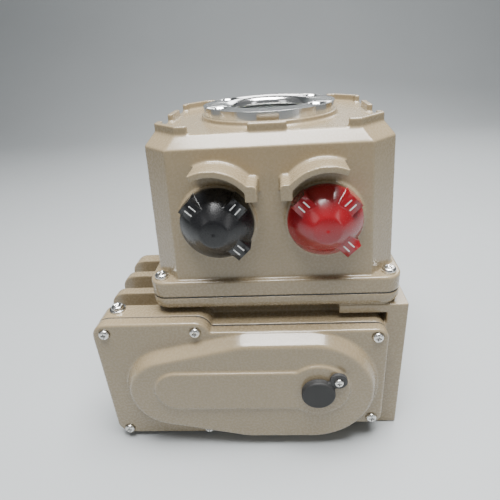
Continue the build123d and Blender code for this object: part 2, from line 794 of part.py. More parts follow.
def make_worm_gear():
    """Large spur gear keyed to the worm shaft."""
    gear = involute_gear(worm_gear_teeth, gear_w_inner, inner_layer, worm_x, axis_z, hand_shaft_r,
                         worm_gear_phase)
    for i in range(5):
        a = radians(72 * i)
        gear -= rod_y(7.0, floor_y, -95, worm_x + 23 * cos(a), axis_z + 23 * sin(a))
    gear += tube_y(12, hand_shaft_r, inner_layer, inner_layer - gear_w_inner - 1.5, worm_x, axis_z)
    return gear


def make_worm_shaft():
    """Worm with its journals, hand drive end and hexagon socket."""
    lead = pi * gear_module
    root_r = worm_r - 1.2 * gear_module
    tip_r = worm_r + 0.9 * gear_module
    tooth = lead / 2 - backlash
    slope = tan(radians(20))
    half_tip = tooth / 2 - 0.9 * gear_module * slope
    half_root = tooth / 2 + 1.2 * gear_module * slope
    thread_len = worm_turns * lead
    path = Helix(pitch=lead, height=thread_len, radius=root_r)
    profile = make_face(Polyline(
        (root_r, -half_root), (tip_r, -half_tip), (tip_r, half_tip), (root_r, half_root), close=True))
    thread = sweep(Plane.XZ * profile, path=path, is_frenet=True)
    core = Cylinder(root_r + 0.02, worm_length)
    worm = core + Pos(0, 0, -thread_len / 2) * thread
    shaft = Pos(worm_x, 0, axis_z) * Rot(X=90) * worm
    rear = rear_bearing_y + bearing_w
    shaft += rod_y(worm_journal_r, floor_y, rear, worm_x, axis_z)
    shaft += rod_y(worm_journal_r + 2, floor_y + bearing_w, rear_bearing_y, worm_x, axis_z)
    shaft += rod_y(hand_shaft_r, floor_y, panel_front + 0.6, worm_x, axis_z)
    hex_r = hand_hex / 2 / cos(radians(30))
    socket = front_prism(Pos(worm_x, axis_z) * RegularPolygon(hex_r, 6),
                         panel_front + 0.6 + hand_hex_depth, panel_front - 1)
    return shaft - socket


def bearing(x, z, y0, width, outer, inner):
    """Sealed ball bearing drawn as one ring with shallow shield grooves."""
    ring = tube_y(outer, inner + running, y0, y0 + width, x, z)
    middle = (outer + inner) / 2
    for y in (y0 + 0.3, y0 + width - 0.3):
        ring -= tube_y(middle + 2.0, middle - 2.0, y - 0.35, y + 0.35, x, z)
    return ring


def make_worm_bearings():
    """Two ball bearings of the worm shaft."""
    front = bearing(worm_x, axis_z, floor_y, bearing_w, bearing_r, worm_journal_r)
    rear = bearing(worm_x, axis_z, rear_bearing_y, bearing_w, bearing_r, worm_journal_r)
    return Compound(children=[front, rear])


def make_hand_drive_seal():
    """O-ring round the hand drive end, in its groove in the cover."""
    return tube_y(hand_shaft_r + 1.9, hand_shaft_r + 0.1, cover_inner + 1.1, cover_inner + 3.5, worm_x, axis_z)


# ================================================================ motor
def motor_end():
    """Rear end of the motor."""
    return floor_y + motor_len - 4.0


def make_motor_front_bell():
    """Front end bell with the flange that is screwed to the chamber floor."""
    front = floor_y - motor_flange_t
    bell = rod_y(motor_flange_r, floor_y, front, motor_x, axis_z)
    bell += rod_y(motor_bore_r - running, floor_y + 9, floor_y, motor_x, axis_z)
    bell += rod_y(motor_bearing_r + 4, front - 3, front, motor_x, axis_z)
    bell -= rod_y(motor_bearing_r, front - 1.5, front - 1.5 + motor_bearing_w, motor_x, axis_z)
    bell -= rod_y(motor_shaft_r + 1, front - 4, floor_y + 10, motor_x, axis_z)
    bell -= rod_y(motor_bore_r - 4, floor_y + 4, floor_y + 10, motor_x, axis_z)
    bell -= rod_y(idler_pin_r, front - 1, front + 2.5, idler_a_x, axis_z)
    for x, z in motor_screw_places():
        bell -= rod_y(1.7, front - 1, floor_y + 1, x, z)
    return bell


def make_motor_screws():
    """Four M3 screws of the motor flange."""
    screw = pan_head(2.6, 2.0, 1.3, 10.0)
    seat = floor_y - motor_flange_t
    return set_on(screw, [Pos(x, seat, z) * Rot(X=90) for x, z in motor_screw_places()])


def make_motor_stator():
    """Laminated stator ring with its slots."""
    y0 = floor_y + 9
    y1 = motor_end() - 9
    stator = tube_y(motor_bore_r - running, rotor_r + 0.5, y0, y1, motor_x, axis_z)
    for i in range(12):
        a = radians(30 * i)
        r = (motor_bore_r + rotor_r) / 2
        stator -= rod_y(4.0, y0 - 1, y1 + 1, motor_x + r * cos(a), axis_z + r * sin(a))
    return stator


def make_motor_winding():
    """Copper winding: twelve slot bundles joined by an end ring at each side."""
    y0 = floor_y + 9
    y1 = motor_end() - 9
    r = (motor_bore_r + rotor_r) / 2
    winding = tube_y(r + 4.5, r - 4.5, y0 - 4, y0 - 0.3, motor_x, axis_z)
    winding += tube_y(r + 4.5, r - 4.5, y1 + 0.3, y1 + 4, motor_x, axis_z)
    for i in range(12):
        a = radians(30 * i)
        winding += rod_y(3.7, y0 - 1, y1 + 1, motor_x + r * cos(a), axis_z + r * sin(a))
    return winding


def make_motor_rear_bell():
    """Rear end bell."""
    y1 = motor_end()
    bell = rod_y(motor_bore_r - running, y1 - 9, y1, motor_x, axis_z)
    bell -= rod_y(motor_bore_r - 4, y1 - 10, y1 - 4, motor_x, axis_z)
    bell += tube_y(motor_bearing_r + 3, motor_bearing_r, y1 - 8.5, y1, motor_x, axis_z)
    bell -= rod_y(motor_bearing_r, y1 - 10, y1 - 1, motor_x, axis_z)
    return bell


def make_motor_bearings():
    """Two ball bearings of the motor shaft."""
    front = bearing(motor_x, axis_z, floor_y - motor_flange_t - 1.5, motor_bearing_w, motor_bearing_r,
                    motor_shaft_r)
    rear = bearing(motor_x, axis_z, motor_end() - 1 - motor_bearing_w, motor_bearing_w, motor_bearing_r,
                   motor_shaft_r)
    return Compound(children=[front, rear])


def make_motor_rotor():
    """Rotor core with cast end rings."""
    y0 = floor_y + 9
    y1 = motor_end() - 9
    rotor = rod_y(rotor_r, y0 + 3, y1 - 3, motor_x, axis_z)
    rotor += rod_y(rotor_r - 2, y0 + 0.5, y1 - 0.5, motor_x, axis_z)
    return rotor - rod_y(motor_shaft_r, y0 - 3, y1 + 3, motor_x, axis_z)


def make_motor_shaft():
    """Motor shaft, stepped down for the pinion."""
    shaft = rod_y(motor_shaft_r, motor_end() - 2, outer_layer + 0.5, motor_x, axis_z)
    return shaft + rod_y(motor_shaft_r - 0.5, outer_layer + 1, outer_layer - gear_w_outer, motor_x, axis_z)


# ================================================================ output
def make_output_shaft():
    """Output shaft: square socket below, wheel seat, journals and cam spindle above."""
    shaft = rod_z(output_r, register_depth + 0.5, stop_z + stop_t / 2)
    shaft += rod_z(wheel_seat_r, stop_z, axis_z + wheel_width / 2 + 8)
    shaft += rod_z(upper_journal_r, axis_z, pan_floor + divider_t + 6)
    shaft += rod_z(cam_shaft_r, pan_floor, dial_z + 1.5)
    socket = Box(square_drive, square_drive, 2 * (square_depth + 1))
    socket = fillet(socket.edges().filter_by(Axis.Z), 1.0)
    shaft -= socket
    return shaft


def make_stop_sector():
    """Quarter sector that meets the travel stop screws at each end."""
    z0 = stop_z - stop_t / 2
    sector = rod_z(output_r + 2, z0, z0 + stop_t)
    quarter = rod_z(stop_r, z0, z0 + stop_t) & block(-stop_r, 0, -stop_r, 0, z0, z0 + stop_t)
    arms = block(-stop_r, 0, -stop_half_w, stop_half_w, z0, z0 + stop_t)
    arms += block(-stop_half_w, stop_half_w, -stop_r, 0, z0, z0 + stop_t)
    return sector + quarter + arms - rod_z(output_r, z0 - 1, z0 + stop_t + 1)


def make_travel_stop_screws():
    """Two M8 set screws through the rear wall that limit the quarter turn."""
    tip = stop_half_w + 0.3
    screws = []
    for x in (-stop_screw_x, stop_screw_x):
        screw = rod_y(stop_screw_r, tip, block_back + 12, x, stop_z)
        hex_face = Pos(x, stop_z) * RegularPolygon(2.3, 6)
        screw -= front_prism(hex_face, block_back + 13, block_back + 8)
        screws.append(screw)
    return Compound(children=screws)


def make_travel_stop_nuts():
    """Lock nuts of the travel stop screws."""
    nuts = []
    for x in (-stop_screw_x, stop_screw_x):
        face = Pos(x, stop_z) * (RegularPolygon(7.5, 6) - Circle(stop_screw_r))
        nuts.append(front_prism(face, block_back + 6.5, block_back))
    return Compound(children=nuts)


def make_output_bush():
    """Lower bronze bush of the output shaft."""
    bush = tube_z(output_r + bush_wall, output_r + running, bush_z0 - 1.5, bush_z1)
    return bush


def make_output_seal():
    """Lip seal below the output bush."""
    return tube_z(seal_r, output_r + running, seal_z0, seal_z1 - 0.6)


def make_worm_wheel():
    """Bronze worm wheel on its seat, with a tooth gap facing the worm at rest."""
    wheel = involute_gear(wheel_teeth, worm_wheel_face, 0, 0, 0, 0, pi / wheel_teeth, wheel_backlash)
    wheel = Rot(X=-90) * wheel
    wheel = Pos(0, 0, axis_z - worm_wheel_face / 2 - wheel.bounding_box().min.Z) * wheel
    hub = rod_z(wheel_r - 3, axis_z - wheel_width / 2, axis_z + wheel_width / 2)
    return wheel + hub - rod_z(wheel_seat_r, 0, 2 * axis_z)


def make_divider_plate():
    """Cover plate over the wheel cavity, with the seat of the upper bush."""
    plate = rod_z(divider_r, pan_floor, pan_floor + divider_t)
    plate += rod_z(upper_journal_r + 6, pan_floor - 6, pan_floor + divider_t + 4)
    plate -= rod_z(upper_journal_r + 3, pan_floor - 7, pan_floor + divider_t + 5)
    for x, y in divider_screw_places():
        plate -= rod_z(2.3, pan_floor - 1, pan_floor + divider_t + 1, x, y)
    return plate


def make_upper_bush():
    """Upper bronze bush of the output shaft."""
    return tube_z(upper_journal_r + 3, upper_journal_r + running, pan_floor - 6, pan_floor + divider_t + 4)


def make_divider_screws():
    """Four M5 screws of the divider plate."""
    screw = pan_head(4.5, 3.0, 2.1, 14.0)
    return set_on(screw, [Pos(x, y, pan_floor + divider_t) for x, y in divider_screw_places()])


def make_limit_cam(index):
    """Adjustable cam disc with a flat notch that trips one limit switch."""
    z0 = cam_z + index * cam_pitch
    cam = rod_z(cam_r, z0, z0 + cam_t)
    notch = block(cam_r - 2.5, cam_r + 1, -3.5, 3.5, z0 - 1, z0 + cam_t + 1)
    cam -= Rot(Z=20 + 90 * index) * notch
    cam += rod_z(8.0, z0, z0 + cam_t + 2)
    return cam - rod_z(cam_shaft_r, z0 - 1, z0 + cam_t + 3)


def make_limit_switches():
    """Two limit switches beside the cams, stacked on their bracket."""
    bodies = []
    for index in range(2):
        z0 = cam_z + index * cam_pitch - 1.0
        body = block(switch_x - 8, switch_x + 4, -14, 14, z0, z0 + 6.4)
        lever = block(switch_x - 9.5, switch_x - 9.0, -10, 8, z0 + 1.5, z0 + 4.9)
        foot = block(switch_x - 9.5, switch_x - 7.5, -10, -8.5, z0 + 1.5, z0 + 4.9)
        roller = rod_z(2.4, z0 + 1.6, z0 + 4.8, switch_x - 11.6, 6)
        arm = block(switch_x - 11.6, switch_x - 9.0, 5.2, 6.8, z0 + 1.6, z0 + 4.8)
        body += lever + foot + roller + arm
        for y in (-9, 9):
            body -= rod_z(1.4, z0 - 1, z0 + 8, switch_x, y)
        bodies.append(body)
    return Compound(children=bodies)


def make_switch_bracket():
    """Upright bracket from the divider plate that carries the limit switches."""
    z0 = cam_z - 3.0
    shelf = block(switch_x - 6, switch_x + 8, -14, 14, z0, z0 + 2)
    post = block(switch_x + 6, switch_x + 8, -14, 14, pan_floor, z0 + 2)
    foot = block(switch_x + 6, switch_x + 15, -14, 14, pan_floor, pan_floor + 2)
    bracket = shelf + post + foot
    for y in (-9, 9):
        bracket += rod_z(1.35, z0, cam_z + cam_pitch + 7.5, switch_x, y)
        bracket -= rod_z(2.2, pan_floor - 1, pan_floor + 3, switch_x + 11.5, y)
    return bracket


def pot_x():
    """Axis of the position potentiometer along X."""
    return -gear_module * (pot_teeth + ring_teeth) / 2


def flat_gear(teeth, z0, width, x, bore, phase=0.0):
    """Spur gear on a vertical axis."""
    gear = involute_gear(teeth, width, 0, 0, 0, bore, phase)
    return Pos(x, 0, z0) * (Rot(X=-90) * gear)


def make_position_gear():
    """Gear on the cam spindle that drives the potentiometer."""
    gear = flat_gear(ring_teeth, gear_ring_z, 4.0, 0, cam_shaft_r)
    return gear + tube_z(9.0, cam_shaft_r, gear_ring_z, gear_ring_z + 8)


def make_potentiometer_pinion():
    """Pinion and spindle of the potentiometer."""
    phase = pi / pot_teeth
    gear = flat_gear(pot_teeth, gear_ring_z, 4.0, pot_x(), 0, phase)
    return gear + rod_z(3.0, gear_ring_z - 8, gear_ring_z + 4, pot_x(), 0)


def make_potentiometer():
    """Potentiometer body on its foot on the divider plate, below its pinion."""
    base = pan_floor + divider_t
    top = gear_ring_z - 2.0
    body = rod_z(11.0, base + 2.0, top - 3, pot_x(), 0) + rod_z(4.5, top - 4, top, pot_x(), 0)
    body += block(pot_x() - 13, pot_x() + 8, -10, 10, base, base + 3.0)
    return body - rod_z(3.0 + running, gear_ring_z - 9, top + 1, pot_x(), 0)


def make_indicator_dial():
    """Position disc under the window: hub, disc and raised pointer bar."""
    dial = rod_z(dial_r, dial_z - 2, dial_z)
    dial += rod_z(9, dial_z - 8, dial_z)
    dial += block(-dial_r + 3, dial_r - 3, -3, 3, dial_z, dial_z + 0.8)
    return dial - rod_z(cam_shaft_r, dial_z - 9, dial_z + 2)


def make_scale_plate():
    """Fixed scale ring round the dial, hung from the roof's inner collar."""
    return tube_z(glass_r + 5, dial_r + 0.8, glass_bottom - 4.5, glass_bottom - 3)


def make_circuit_board():
    """Control board on the rear side of the control compartment."""
    board = block(-50, 50, 30, 56, pan_floor + 12, pan_floor + 13.6)
    for x, y in ((-47, 33), (47, 33), (-47, 53), (47, 53)):
        board -= rod_z(1.6, pan_floor + 11, pan_floor + 15, x, y)
    for x, w, h in ((-34, 16, 12), (-10, 12, 9), (12, 14, 15), (34, 16, 10)):
        board += block(x - w / 2, x + w / 2, 34, 45, pan_floor + 13.6, pan_floor + 13.6 + h)
    return board


def make_board_standoffs():
    """Four hexagon standoffs with screws for the control board."""
    posts = []
    for x, y in ((-47, 33), (47, 33), (-47, 53), (47, 53)):
        face = Pos(x, y, pan_floor) * RegularPolygon(3.2, 6)
        post = extrude(face, 12)
        post += rod_z(1.5, pan_floor + 11, pan_floor + 14, x, y)
        post += rod_z(2.8, pan_floor + 13.6, pan_floor + 15.6, x, y)
        posts.append(post)
    return Compound(children=posts)


def make_terminal_block():
    """Row of screw terminals along the rear edge of the pan."""
    rail = block(-43, 43, 47.5, 55.5, pan_floor + 13.6, pan_floor + 24)
    for i in range(12):
        x = -38.5 + 7 * i
        rail -= rod_z(2.4, pan_floor + 19, pan_floor + 25, x, 51)
        rail -= block(x - 2.6, x + 2.6, 53.5, 57, pan_floor + 15, pan_floor + 21)
    return rail


def make_capacitor():
    """Motor capacitor lying in the pan, with its boss ends."""
    body = rod_z(capacitor_r, pan_floor, pan_floor + 44, cap_x, cap_y)
    return fillet(body.edges(), 1.5)


def make_capacitor_clip():
    """Spring clip round the capacitor, screwed to the pan."""
    inner = capacitor_r + running
    clip = tube_z(inner + 1.1, inner, pan_floor + 14, pan_floor + 24, cap_x, cap_y)
    back = cap_y - inner - 0.5
    clip += block(cap_x - 2, cap_x + 2, back - 3, back, pan_floor, pan_floor + 24)
    clip += block(cap_x - 6, cap_x + 6, back - 12, back, pan_floor, pan_floor + 1.5)
    clip -= rod_z(2.2, pan_floor - 1, pan_floor + 3, cap_x, back - 8)
    return clip - rod_z(inner, pan_floor - 1, pan_floor + 50, cap_x, cap_y)


# ================================================================ cable glands
def make_gland_bodies():
    """Two cable gland bodies screwed into the rear wall."""
    bodies = []
    y0 = gland_pad_y()
    for x in gland_places():
        body = rod_y(gland_thread_r, y0 - 12, y0, x, gland_z)
        body += front_prism(Pos(x, gland_z) * RegularPolygon(14.5, 6), y0 + 6, y0)
        body += rod_y(gland_thread_r, y0, y0 + 13, x, gland_z)
        body -= rod_y(6.8, y0 - 13, y0 + 14, x, gland_z)
        bodies.append(body)
    return Compound(children=bodies)


def make_gland_nuts():
    """Dome nuts of the glands."""
    nuts = []
    y0 = gland_pad_y() + 6.4
    for x in gland_places():
        nut = front_prism(Pos(x, gland_z) * RegularPolygon(14.0, 6), y0 + 10, y0)
        nut += Pos(x, y0 + 13, gland_z) * Rot(X=-90) * Cone(12.0, 8.6, 6)
        nut -= rod_y(gland_thread_r + running, y0 - 1, y0 + 7, x, gland_z)
        nut -= rod_y(6.0, y0 - 1, y0 + 20, x, gland_z)
        nuts.append(nut)
    return Compound(children=nuts)


def make_gland_seals():
    """Rubber sleeves inside the glands."""
    y0 = gland_pad_y() + 7.4
    return Compound(children=[tube_y(6.7, 3.2, y0 - 2, y0 + 5.5, x, gland_z) for x in gland_places()])


# ================================================================ hand drive cap
def strap_box(reach0, reach1, width, y0, y1):
    """Flat strap along the cap's direction, between two distances from the hand drive axis."""
    length = reach1 - reach0
    centre = (reach0 + reach1) / 2
    strip = Pos(worm_x, axis_z) * Rot(Z=cap_angle) * Pos(centre, 0) * Rectangle(length, width)
    return front_prism(strip, y0, y1)


def make_hand_drive_cap():
    """Rubber cap over the hand drive, up to the fold line of its strap."""
    back = panel_front - 0.1
    cap = rod_y(cap_r, back, back - cap_t, worm_x, axis_z)
    cap = fillet(cap.edges().group_by(Axis.Y)[0], 1.8)
    cap += strap_box(cap_r - 3, cap_hinge, 7.0, back, back - cap_tab_t)
    return cap - rod_y(hand_shaft_r + 0.4, back + 1, panel_front - 1.6, worm_x, axis_z)


def make_cap_tab():
    """Fixed end of the rubber cap's strap, held by a screw."""
    back = panel_front - 0.1
    x, z = cap_place(cap_reach)
    tab = rod_y(cap_tab_r, back, back - cap_tab_t, x, z)
    tab &= strap_box(cap_hinge + 0.05, cap_reach + 20, 30, back + 1, back - 10)
    return tab - rod_y(1.7, back + 1, back - 10, x, z)


def make_cap_screw():
    """Small pan head screw of the cap's strap."""
    x, z = cap_place(cap_reach)
    seat = panel_front - 0.1 - cap_tab_t
    return Pos(x, seat, z) * Rot(X=90) * pan_head(3.2, 2.2, 1.6, 8.0)


# ================================================================ grouped pieces
def make_motor_bells():
    """Front and rear end bells of the motor."""
    return Compound(children=[make_motor_front_bell(), make_motor_rear_bell()])


def make_ball_bearings():
    """Ball bearings of the motor shaft and the worm shaft."""
    return Compound(children=list(make_motor_bearings().solids()) + list(make_worm_bearings().solids()))


def make_output_bushes():
    """Lower and upper bronze bushes of the output shaft."""
    return Compound(children=[make_output_bush(), make_upper_bush()])


def make_limit_cams():
    """Close and open limit cams."""
    return Compound(children=[make_limit_cam(0), make_limit_cam(1)])


def make_shaft_seals():
    """Seals of the two knob spindles, the hand drive and the output shaft."""
    rings = list(make_knob_seals().solids()) + [make_hand_drive_seal(), make_output_seal()]
    return Compound(children=rings)


# ================================================================ output files
pieces = {
    "gear_housing": make_gear_housing,
    "gear_cover": make_gear_cover,
    "gear_cover_gasket": make_gear_cover_gasket,
    "gear_cover_screws": make_gear_cover_screws,
    "control_cover": make_control_cover,
    "control_cover_gasket": make_cover_gasket,
    "control_cover_screws": make_control_cover_screws,
    "earth_screw": make_earth_screw,
    "window_glass": make_window_glass,
    "window_seals": make_window_seals,
    "window_ring": make_window_ring,
    "window_ring_screws": make_window_ring_screws,
    "scale_plate": make_scale_plate,
    "local_control_knob": lambda: make_knob(-1),
    "local_control_spindle": lambda: make_knob_spindle(-1),
    "mode_knob": lambda: make_knob(1),
    "mode_spindle": lambda: make_knob_spindle(1),
    "knob_bushes": make_knob_bushes,
    "selector_switches": make_selector_switches,
    "selector_plate": make_switch_plate,
    "hand_drive_cap": make_hand_drive_cap,
    "cap_tab": make_cap_tab,
    "cap_screw": make_cap_screw,
    "motor_bells": make_motor_bells,
    "motor_screws": make_motor_screws,
    "ball_bearings": make_ball_bearings,
    "motor_stator": make_motor_stator,
    "motor_winding": make_motor_winding,
    "motor_rotor": make_motor_rotor,
    "motor_shaft": make_motor_shaft,
    "motor_pinion": make_motor_pinion,
    "idler_pins": make_idler_pins,
    "first_idler": make_idler_a,
    "second_idler": make_idler_b,
    "worm_shaft": make_worm_shaft,
    "worm_gear": make_worm_gear,
    "output_shaft": make_output_shaft,
    "worm_wheel": make_worm_wheel,
    "stop_sector": make_stop_sector,
    "travel_stop_screws": make_travel_stop_screws,
    "travel_stop_nuts": make_travel_stop_nuts,
    "output_bushes": make_output_bushes,
    "shaft_seals": make_shaft_seals,
    "divider_plate": make_divider_plate,
    "divider_screws": make_divider_screws,
    "limit_cams": make_limit_cams,
    "limit_switches": make_limit_switches,
    "switch_bracket": make_switch_bracket,
    "position_gear": make_position_gear,
    "potentiometer": make_potentiometer,
    "potentiometer_pinion": make_potentiometer_pinion,
    "indicator_dial": make_indicator_dial,
    "circuit_board": make_circuit_board,
    "board_standoffs": make_board_standoffs,
    "terminal_block": make_terminal_block,
    "motor_capacitor": make_capacitor,
    "capacitor_clip": make_capacitor_clip,
    "gland_bodies": make_gland_bodies,
    "gland_nuts": make_gland_nuts,
    "gland_seals": make_gland_seals,
}
for name, make in pieces.items():
    export_step(make(), os.path.join("parts", name + ".step"))
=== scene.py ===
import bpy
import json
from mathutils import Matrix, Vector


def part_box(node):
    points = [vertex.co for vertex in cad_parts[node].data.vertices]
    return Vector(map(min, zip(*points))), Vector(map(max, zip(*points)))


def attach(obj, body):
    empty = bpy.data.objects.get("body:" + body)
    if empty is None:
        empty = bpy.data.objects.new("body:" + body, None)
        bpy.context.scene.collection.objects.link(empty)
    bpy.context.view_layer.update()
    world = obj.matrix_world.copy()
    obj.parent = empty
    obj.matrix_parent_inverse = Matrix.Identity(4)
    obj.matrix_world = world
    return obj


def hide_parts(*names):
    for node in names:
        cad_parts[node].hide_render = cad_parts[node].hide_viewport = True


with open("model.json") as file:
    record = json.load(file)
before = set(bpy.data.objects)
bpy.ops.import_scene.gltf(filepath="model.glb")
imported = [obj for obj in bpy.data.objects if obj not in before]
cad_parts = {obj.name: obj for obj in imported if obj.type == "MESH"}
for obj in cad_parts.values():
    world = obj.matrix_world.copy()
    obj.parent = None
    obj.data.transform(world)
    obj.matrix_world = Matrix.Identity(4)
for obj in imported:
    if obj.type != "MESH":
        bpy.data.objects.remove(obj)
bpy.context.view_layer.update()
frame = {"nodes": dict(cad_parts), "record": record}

import json
import math

import bmesh
import bpy
from mathutils import Matrix, Vector

NODES = frame["nodes"]
BODY_OF = {}
for body_name, members in frame["record"]["behaviour"]["bodies"].items():
    for member in members:
        BODY_OF[member] = body_name

CASTINGS = ("gear_housing", "gear_cover", "control_cover")
FINE_PER_CLOUD = 22.0        # how much finer the small noise is than the mottling
COAT_ROUGHNESS = 0.12
RELIEF_DEPTH = 0.0002        # height of the fine surface relief, m
WORN_FROM, WORN_TO = 0.545, 0.60    # pointiness at which edge wear starts and is full
WELD_DISTANCE = 2e-6         # vertices closer than this are one vertex, m
SHARP_ANGLE = 32             # edges sharper than this stay sharp, degrees
VOXEL = 0.0007
RELAX_ROUNDS = 5
PAD_ANGLES = (135, 45, -45)  # where the three raised pads sit on a knob, degrees
PAD_RADIUS = 0.0200          # from the knob's axis to the middle of a pad, m
PAD_HEIGHT = 0.0126          # from the knob's wall side to a pad's face, m
MARK_PROUD = 0.00002
MARK_HALF_LENGTH, MARK_HALF_WIDTH, MARK_THICK = 0.0028, 0.00045, 0.00008
MARK_ROWS = (-0.0021, 0.0021)


# ---------------------------------------------------------------- materials
def noise(tree, coord, scale, detail):
    node = tree.nodes.new("ShaderNodeTexNoise")
    node.inputs["Scale"].default_value = scale
    node.inputs["Detail"].default_value = detail
    tree.links.new(coord, node.inputs["Vector"])
    return node.outputs["Fac"]


def remap(tree, value, from_low, from_high, to_low, to_high):
    node = tree.nodes.new("ShaderNodeMapRange")
    tree.links.new(value, node.inputs["Value"])
    node.inputs["From Min"].default_value = from_low
    node.inputs["From Max"].default_value = from_high
    node.inputs["To Min"].default_value = to_low
    node.inputs["To Max"].default_value = to_high
    return node.outputs["Result"]


def mix_colour(tree, factor, a, b):
    node = tree.nodes.new("ShaderNodeMix")
    node.data_type = "RGBA"
    tree.links.new(factor, node.inputs[0])
    for socket, value in ((node.inputs[6], a), (node.inputs[7], b)):
        if isinstance(value, tuple):
            socket.default_value = value
        else:
            tree.links.new(value, socket)
    return node.outputs[2]


def shade(colour, amount):
    return tuple(max(0.0, min(1.0, c * amount)) for c in colour) + (1.0,)


def finish_material(name, colour, rough, metal=0.0, wear=None, grain=60.0, bump=0.15, coat=0.0,
                    edge=0.0003, spread=0.08, rough_spread=0.10):
    """Procedural finish: mottled colour, uneven roughness, fine bump, worn and softened edges."""
    mat = bpy.data.materials.new(name)
    mat.use_nodes = True
    tree = mat.node_tree
    surface = tree.nodes["Principled BSDF"]
    coord = tree.nodes.new("ShaderNodeTexCoord").outputs["Object"]
    cloud = noise(tree, coord, grain, 4.0)
    fine = noise(tree, coord, grain * FINE_PER_CLOUD, 3.0)
    mottle = remap(tree, cloud, 0.3, 0.7, 0.0, 1.0)
    base = mix_colour(tree, mottle, shade(colour, 1.0 - spread), shade(colour, 1.0 + spread))
    if wear is not None:
        pointed = tree.nodes.new("ShaderNodeNewGeometry").outputs["Pointiness"]
        worn = remap(tree, pointed, WORN_FROM, WORN_TO, 0.0, 1.0)
        patchy = tree.nodes.new("ShaderNodeMath")
        patchy.operation = "MULTIPLY"
        tree.links.new(worn, patchy.inputs[0])
        tree.links.new(remap(tree, fine, 0.4, 0.6, 0.1, 0.75), patchy.inputs[1])
        base = mix_colour(tree, patchy.outputs[0], base, shade(wear, 1.0))
    tree.links.new(base, surface.inputs["Base Color"])
    half = rough_spread / 2
    uneven = remap(tree, fine, 0.3, 0.7, rough - half, rough + half)
    tree.links.new(uneven, surface.inputs["Roughness"])
    surface.inputs["Metallic"].default_value = metal
    surface.inputs["Coat Weight"].default_value = coat
    surface.inputs["Coat Roughness"].default_value = COAT_ROUGHNESS
    corner = tree.nodes.new("ShaderNodeBevel")
    corner.samples = 4
    corner.inputs["Radius"].default_value = edge
    relief = tree.nodes.new("ShaderNodeBump")
    relief.inputs["Strength"].default_value = bump
    relief.inputs["Distance"].default_value = RELIEF_DEPTH
    tree.links.new(fine, relief.inputs["Height"])
    tree.links.new(corner.outputs["Normal"], relief.inputs["Normal"])
    tree.links.new(relief.outputs["Normal"], surface.inputs["Normal"])
    return mat


def glass_material():
    """Clear glass with the faint unevenness of the other finishes."""
    mat = finish_material("window_glass_finish", (0.80, 0.86, 0.86), 0.05, bump=0.02,
                          spread=0.02, rough_spread=0.02)
    surface = mat.node_tree.nodes["Principled BSDF"]
    surface.inputs["Transmission Weight"].default_value = 0.92
    surface.inputs["IOR"].default_value = 1.47
    return mat


CREAM = (0.270, 0.213, 0.130)
FINISHES = {
    "cast_paint": finish_material(
        "cast_paint_finish", CREAM, 0.27, wear=(0.33, 0.27, 0.18), grain=24.0,
        bump=0.08, coat=0.45, spread=0.02),
    "stainless": finish_material(
        "stainless_finish", (0.78, 0.78, 0.77), 0.17, metal=1.0, grain=40.0,
        bump=0.05, spread=0.04),
    "steel_part": finish_material(
        "steel_finish", (0.42, 0.43, 0.45), 0.35, metal=1.0, wear=(0.75, 0.75, 0.75)),
    "zinc_screw": finish_material(
        "zinc_finish", (0.70, 0.69, 0.66), 0.24, metal=1.0, wear=(0.90, 0.90, 0.88),
        grain=220.0, bump=0.12),
    "bronze": finish_material(
        "bronze_finish", (0.58, 0.37, 0.14), 0.33, metal=1.0, wear=(0.85, 0.65, 0.35)),
    "brass_part": finish_material(
        "brass_finish", (0.72, 0.54, 0.22), 0.30, metal=1.0, wear=(0.9, 0.75, 0.4)),
    "black_rubber": finish_material(
        "rubber_finish", (0.018, 0.018, 0.018), 0.62, wear=(0.07, 0.07, 0.07),
        bump=0.35, spread=0.25),
    "black_plastic": finish_material(
        "black_plastic_finish", (0.008, 0.008, 0.009), 0.30, wear=(0.04, 0.04, 0.04),
        bump=0.06, coat=0.1, spread=0.2),
    "red_plastic": finish_material(
        "red_plastic_finish", (0.26, 0.006, 0.011), 0.24, wear=(0.40, 0.05, 0.05),
        bump=0.06, coat=0.4, spread=0.08),
    "dark_plastic": finish_material(
        "dark_plastic_finish", (0.035, 0.035, 0.04), 0.5, wear=(0.1, 0.1, 0.1)),
    "gland_plastic": finish_material(
        "gland_finish", (0.03, 0.03, 0.032), 0.45, wear=(0.1, 0.1, 0.1)),
    "window": glass_material(),
    "dial_paint": finish_material(
        "dial_finish", (0.75, 0.65, 0.08), 0.4, wear=(0.85, 0.8, 0.4)),
    "board": finish_material(
        "board_finish", (0.02, 0.16, 0.07), 0.35, wear=(0.1, 0.3, 0.18)),
    "copper": finish_material(
        "copper_finish", (0.60, 0.24, 0.10), 0.3, metal=1.0, wear=(0.8, 0.45, 0.3)),
    "lamination": finish_material(
        "lamination_finish", (0.28, 0.29, 0.31), 0.45, metal=1.0, wear=(0.6, 0.6, 0.6)),
    "alu": finish_material(
        "aluminium_finish", (0.62, 0.63, 0.64), 0.36, metal=1.0, wear=(0.85, 0.85, 0.85)),
}
MARK = finish_material(
    "mark_finish", (0.80, 0.80, 0.78), 0.5, wear=(0.6, 0.6, 0.6), bump=0.1, edge=0.0001)
FLOOR = finish_material(
    "floor_finish", (0.41, 0.43, 0.437), 0.6, grain=3.0, bump=0.02, spread=0.02)
SLOT_OF = {entry["node"]: entry["material_slot"] for entry in frame["record"]["subparts"]}


# ---------------------------------------------------------------- pieces
def add_piece(name, mesh, material, body):
    piece = bpy.data.objects.new(name, mesh)
    bpy.context.scene.collection.objects.link(piece)
    mesh.materials.clear()
    mesh.materials.append(material)
    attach(piece, body)
    return piece


